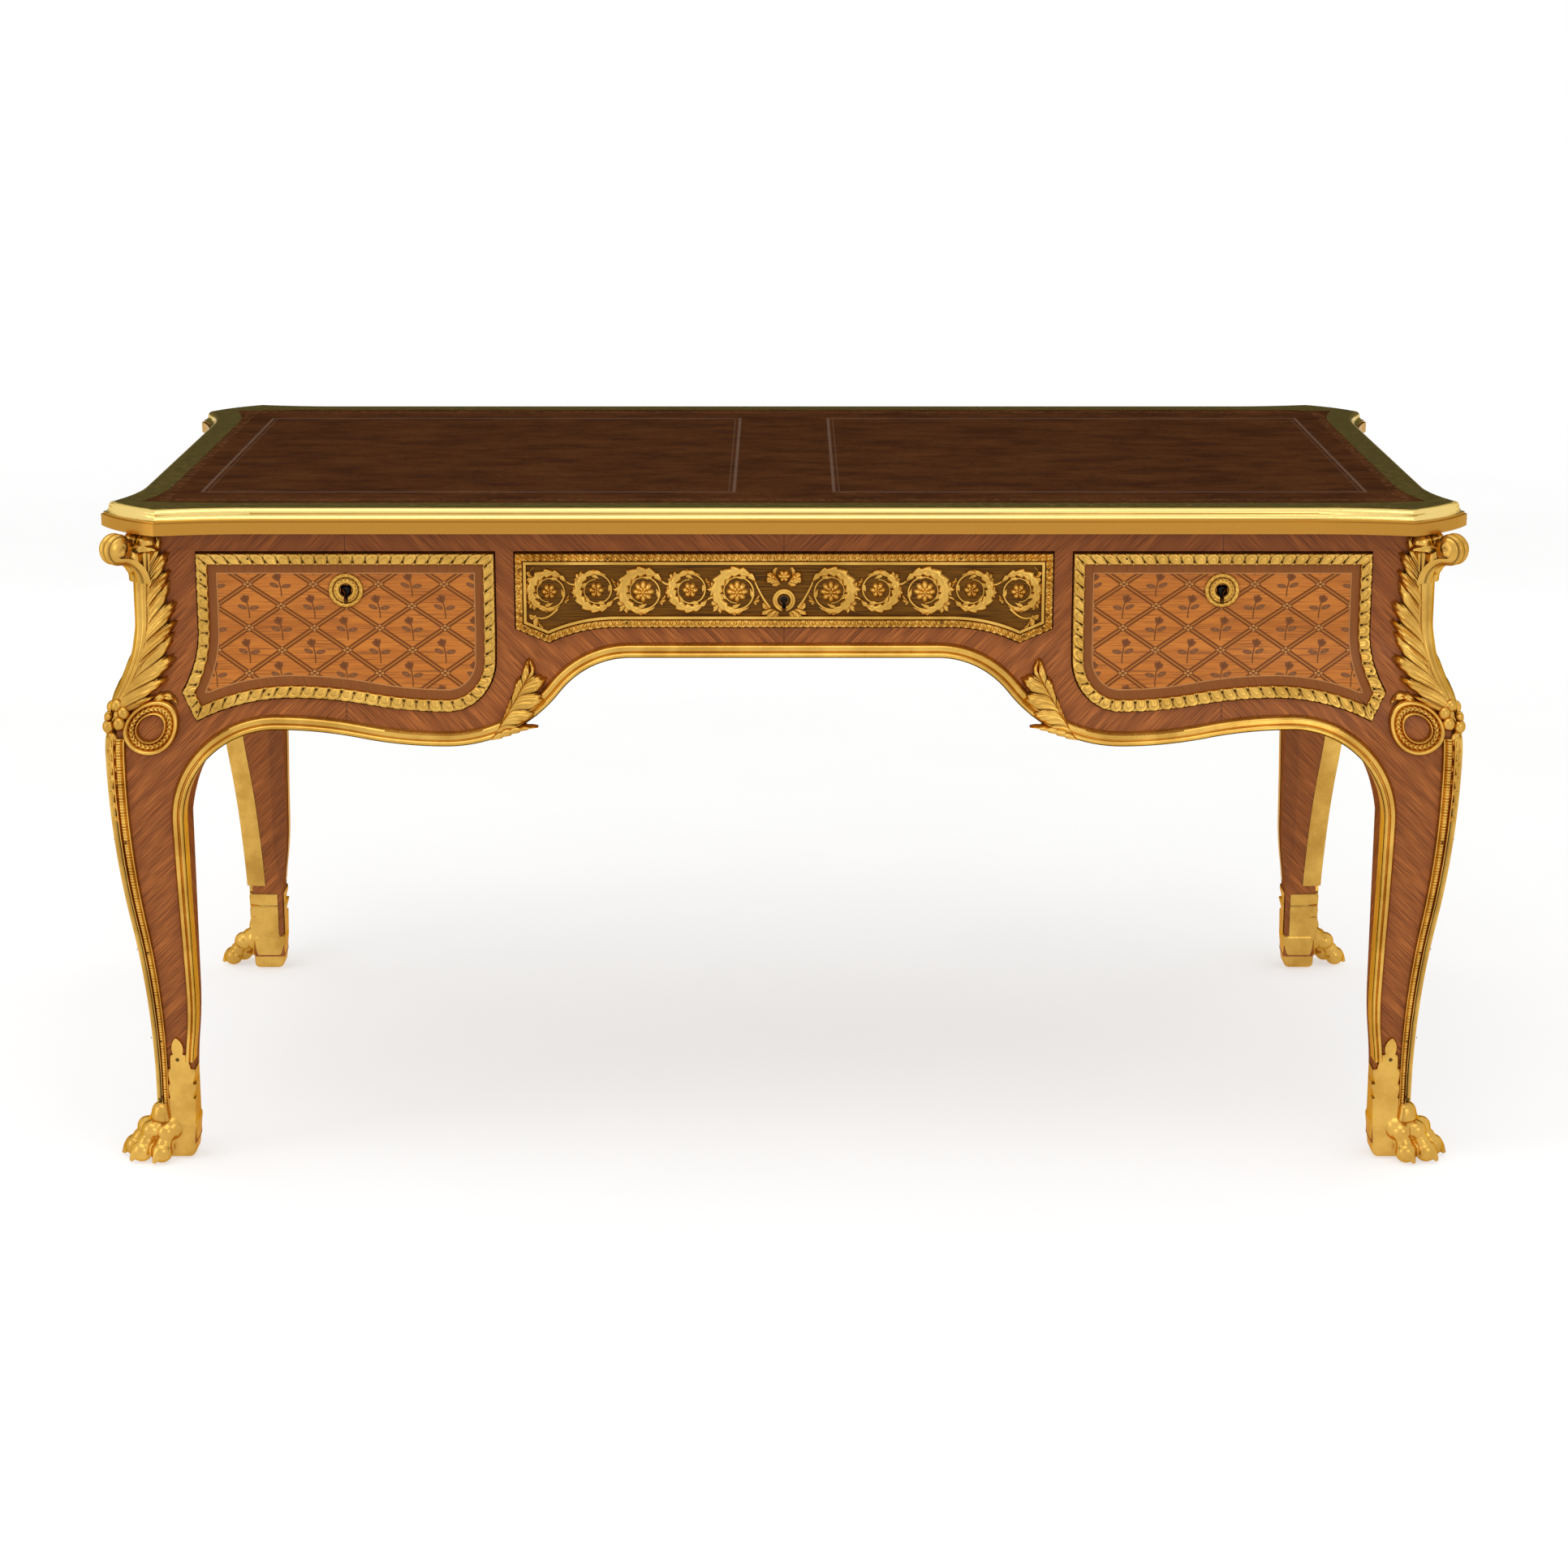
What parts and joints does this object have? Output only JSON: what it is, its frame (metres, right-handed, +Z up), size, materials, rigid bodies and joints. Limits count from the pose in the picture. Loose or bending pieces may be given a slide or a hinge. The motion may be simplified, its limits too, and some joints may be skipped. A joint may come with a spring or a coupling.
{
  "type": "writing table",
  "caption": "Veneered writing table on saber legs with gilt bronze mounts, a leather writing surface and lockable frieze drawers above a kneehole.",
  "frame": {"origin": "on the floor under the middle of the table", "axes": "+X along the front to the right of a person facing it, +Y from the front to the back, +Z up"},
  "size_m": [1.5688, 0.863, 0.785],
  "materials": {
    "veneer": "polished diagonal-grained veneer with trellis marquetry on the deep drawers",
    "oak": "plain planed oak",
    "leather": "worn brown hide with tooled lines",
    "polished_brass": "polished brass",
    "gilt_bronze": "burnished gilding with darker recesses",
    "lock_steel": "filed steel"
  },
  "bodies": {
    "carcase": {"back_board": "veneer", "back_escutcheons": "gilt_bronze", "back_frames": "gilt_bronze", "back_mouldings": "gilt_bronze", "back_rinceaux": "gilt_bronze", "brass_edge_corners": "polished_brass", "brass_edge_lengths": "polished_brass", "chute_back_left": "gilt_bronze", "chute_back_right": "gilt_bronze", "chute_front_left": "gilt_bronze", "chute_front_right": "gilt_bronze", "drawer_dividers": "veneer", "drawer_runners": "oak", "drawer_stops": "oak", "front_apron": "veneer", "front_mouldings": "gilt_bronze", "front_top_rail": "veneer", "leather_inset": "leather", "leg_back_left": "veneer", "leg_back_right": "veneer", "leg_bands_back_left": "gilt_bronze", "leg_bands_back_right": "gilt_bronze", "leg_bands_front_left": "gilt_bronze", "leg_bands_front_right": "gilt_bronze", "leg_front_left": "veneer", "leg_front_right": "veneer", "partition_left": "oak", "partition_right": "oak", "paw_back_left": "gilt_bronze", "paw_back_right": "gilt_bronze", "paw_front_left": "gilt_bronze", "paw_front_right": "gilt_bronze", "side_board_left": "veneer", "side_board_right": "veneer", "side_frame_left": "gilt_bronze", "side_frame_right": "gilt_bronze", "side_moulding_left": "gilt_bronze", "side_moulding_right": "gilt_bronze", "spandrel_leaves_back": "gilt_bronze", "spandrel_leaves_front": "gilt_bronze", "top_panel": "oak"},
    "drawer_left": {"drawer_box_left": "oak", "drawer_frame_left": "gilt_bronze", "drawer_front_left": "veneer", "escutcheon_left": "gilt_bronze", "lock_case_left": "lock_steel"},
    "drawer_centre": {"drawer_box_centre": "oak", "drawer_frame_centre": "gilt_bronze", "drawer_front_centre": "veneer", "lock_case_centre": "lock_steel", "rinceaux_centre": "gilt_bronze"},
    "drawer_right": {"drawer_box_right": "oak", "drawer_frame_right": "gilt_bronze", "drawer_front_right": "veneer", "escutcheon_right": "gilt_bronze", "lock_case_right": "lock_steel"},
    "bolt_left": {"lock_bolt_left": "lock_steel"},
    "bolt_centre": {"lock_bolt_centre": "lock_steel"},
    "bolt_right": {"lock_bolt_right": "lock_steel"}
  },
  "joints": [
    {"name": "drawer_left_slide", "type": "slide", "parent": "carcase", "child": "drawer_left", "axis": [0, -1, 0], "range_m": [0, 0.4]},
    {"name": "drawer_centre_slide", "type": "slide", "parent": "carcase", "child": "drawer_centre", "axis": [0, -1, 0], "range_m": [0, 0.4]},
    {"name": "drawer_right_slide", "type": "slide", "parent": "carcase", "child": "drawer_right", "axis": [0, -1, 0], "range_m": [0, 0.4]},
    {"name": "bolt_left_throw", "type": "slide", "parent": "drawer_left", "child": "bolt_left", "axis": [0, 0, 1], "range_m": [0, 0.009]},
    {"name": "bolt_centre_throw", "type": "slide", "parent": "drawer_centre", "child": "bolt_centre", "axis": [0, 0, 1], "range_m": [0, 0.009]},
    {"name": "bolt_right_throw", "type": "slide", "parent": "drawer_right", "child": "bolt_right", "axis": [0, 0, 1], "range_m": [0, 0.009]}
  ]
}
